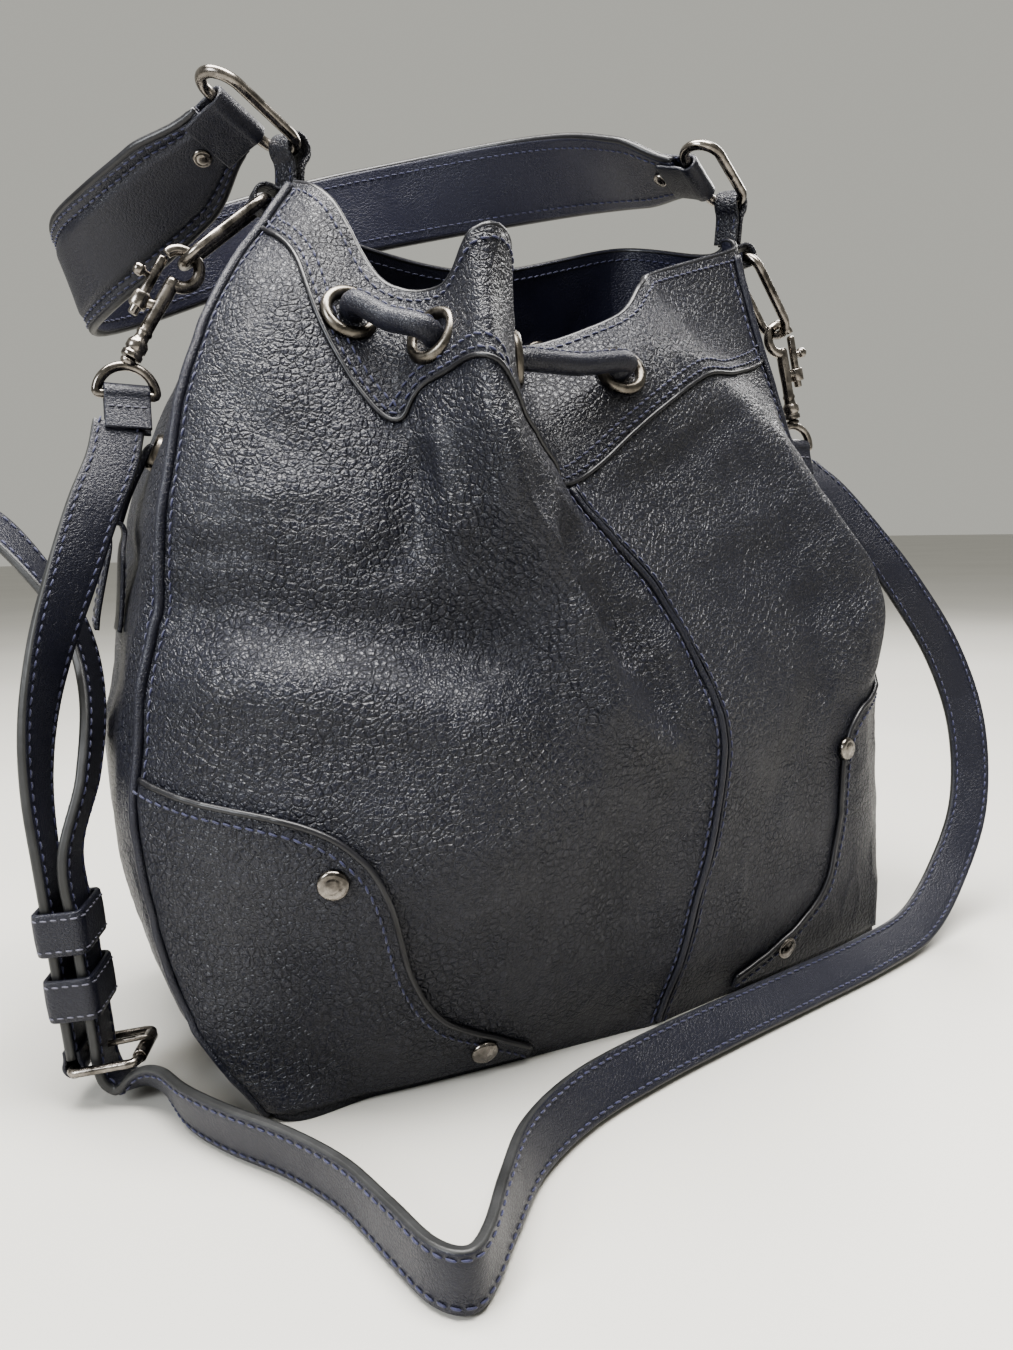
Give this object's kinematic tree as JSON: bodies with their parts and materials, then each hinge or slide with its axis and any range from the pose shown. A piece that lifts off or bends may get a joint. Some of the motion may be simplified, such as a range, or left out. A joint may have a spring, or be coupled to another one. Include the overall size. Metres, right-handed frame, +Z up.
{
  "type": "bucket bag",
  "caption": "Soft leather bucket bag with a drawstring mouth, corner patches, a top handle on oval rings and a buckled shoulder strap on swivel snap hooks.",
  "frame": {"origin": "on the ground under the middle of the base", "axes": "+Z up, front face with the pleat and the seam towards -Y, handle rings at -X (left) and +X (right)"},
  "size_m": [0.3889, 0.2786, 0.3247],
  "materials": {
    "body_leather": "pebbled, soft sheen",
    "trim_leather": "pebbled, soft sheen",
    "strap_leather": "fine grain, soft sheen",
    "cord_leather": "smooth, soft sheen",
    "lining_cloth": "matte twill",
    "board": "matte",
    "dark_nickel": "polished, dark"
  },
  "bodies": {
    "bag": {"front_left_panel": "body_leather", "front_right_panel": "body_leather", "back_left_panel": "body_leather", "back_right_panel": "body_leather", "front_facing": "trim_leather", "back_facing": "trim_leather", "left_gusset": "body_leather", "right_gusset": "body_leather", "base_panel": "body_leather", "base_board": "board", "lining": "lining_cloth", "front_left_patch": "trim_leather", "front_right_patch": "trim_leather", "back_left_patch": "trim_leather", "back_right_patch": "trim_leather", "patch_rivets": "dark_nickel", "front_left_piping": "trim_leather", "front_right_piping": "trim_leather", "back_left_piping": "trim_leather", "back_right_piping": "trim_leather", "eyelets": "dark_nickel", "front_drawstring": "cord_leather", "back_drawstring": "cord_leather", "left_tab": "trim_leather", "right_tab": "trim_leather", "tab_rivets": "dark_nickel", "left_eye": "dark_nickel", "right_eye": "dark_nickel"},
    "handle": {"handle_outer": "strap_leather", "handle_inner": "strap_leather", "left_handle_chape": "trim_leather", "right_handle_chape": "trim_leather", "handle_rivets": "dark_nickel", "left_tab_loop": "trim_leather", "right_tab_loop": "trim_leather"},
    "left_handle_ring": {"left_handle_ring": "dark_nickel"},
    "right_handle_ring": {"right_handle_ring": "dark_nickel"},
    "left_strap_ring": {"left_strap_ring": "dark_nickel"},
    "right_strap_ring": {"right_strap_ring": "dark_nickel"},
    "left_hook": {"left_hook": "dark_nickel"},
    "right_hook": {"right_hook": "dark_nickel"},
    "left_bolt": {"left_bolt": "dark_nickel"},
    "right_bolt": {"right_bolt": "dark_nickel"},
    "strap": {"short_strap": "strap_leather", "long_strap": "strap_leather", "left_strap_chape": "trim_leather", "right_strap_chape": "trim_leather", "buckle_chape": "trim_leather", "lower_keeper": "trim_leather", "buckle_frame": "dark_nickel"},
    "upper_keeper": {"upper_keeper": "trim_leather"},
    "buckle_prong": {"buckle_prong": "dark_nickel"},
    "left_cord_tab": {"left_cord_tab": "trim_leather"},
    "right_cord_tab": {"right_cord_tab": "trim_leather"}
  },
  "joints": [
    {"name": "handle_lift", "type": "hinge", "parent": "bag", "child": "handle", "pos_m": [0, 0, 0.2766], "axis": [1, 0, 0], "range_deg": [0, 58]},
    {"name": "left_handle_ring_turn", "type": "hinge", "parent": "handle", "child": "left_handle_ring", "pos_m": [-0.10585, -0.00149, 0.29121], "axis": [0.8053, 0.453, -0.3825], "range_deg": [-3, 3]},
    {"name": "right_handle_ring_turn", "type": "hinge", "parent": "handle", "child": "right_handle_ring", "pos_m": [0.06515, -0.00149, 0.29221], "axis": [0.8053, 0.453, -0.3825], "range_deg": [-3, 3]},
    {"name": "left_strap_ring_swing", "type": "hinge", "parent": "bag", "child": "left_strap_ring", "pos_m": [-0.0977, 0, 0.268], "axis": [0, 1, 0], "range_deg": [-2, 1]},
    {"name": "right_strap_ring_swing", "type": "hinge", "parent": "bag", "child": "right_strap_ring", "pos_m": [0.087, 0, 0.266], "axis": [0, 1, 0], "range_deg": [-1, 2]},
    {"name": "left_hook_swivel", "type": "hinge", "parent": "bag", "child": "left_hook", "pos_m": [-0.14173, 0, 0.21777], "axis": [0.5201, 0, 0.8541], "range_deg": [-12, 12]},
    {"name": "right_hook_swivel", "type": "hinge", "parent": "bag", "child": "right_hook", "pos_m": [0.11314, 0, 0.20464], "axis": [-0.2201, 0, 0.9755], "range_deg": [-12, 12]},
    {"name": "left_bolt_slide", "type": "slide", "parent": "left_hook", "child": "left_bolt", "axis": [-0.5201, 0, -0.8541], "range_m": [0, 0.0042], "stiffness_N_per_m": 60},
    {"name": "right_bolt_slide", "type": "slide", "parent": "right_hook", "child": "right_bolt", "axis": [0.2201, 0, -0.9755], "range_m": [0, 0.0042], "stiffness_N_per_m": 60},
    {"name": "strap_swing", "type": "hinge", "parent": "bag", "child": "strap", "pos_m": [-0.1436, 0, 0.20678], "axis": [-0.9986, 0, 0.0524], "range_deg": [0, 110]},
    {"name": "upper_keeper_slide", "type": "slide", "parent": "strap", "child": "upper_keeper", "axis": [-0.0705, -0.0201, 0.9973], "range_m": [-0.004, 0.002]},
    {"name": "buckle_prong_lift", "type": "hinge", "parent": "strap", "child": "buckle_prong", "pos_m": [-0.173, -0.028, 0.012], "axis": [-0.3521, -0.9355, -0.0302], "range_deg": [0, 3]},
    {"name": "left_cord_tab_swing", "type": "hinge", "parent": "bag", "child": "left_cord_tab", "pos_m": [-0.1494, 0.00235, 0.16544], "axis": [0, 1, -0.003], "range_deg": [0, 2.5]},
    {"name": "right_cord_tab_swing", "type": "hinge", "parent": "bag", "child": "right_cord_tab", "pos_m": [0.10868, 0.00188, 0.17123], "axis": [0, -0.9985, -0.0541], "range_deg": [0, 50]}
  ]
}
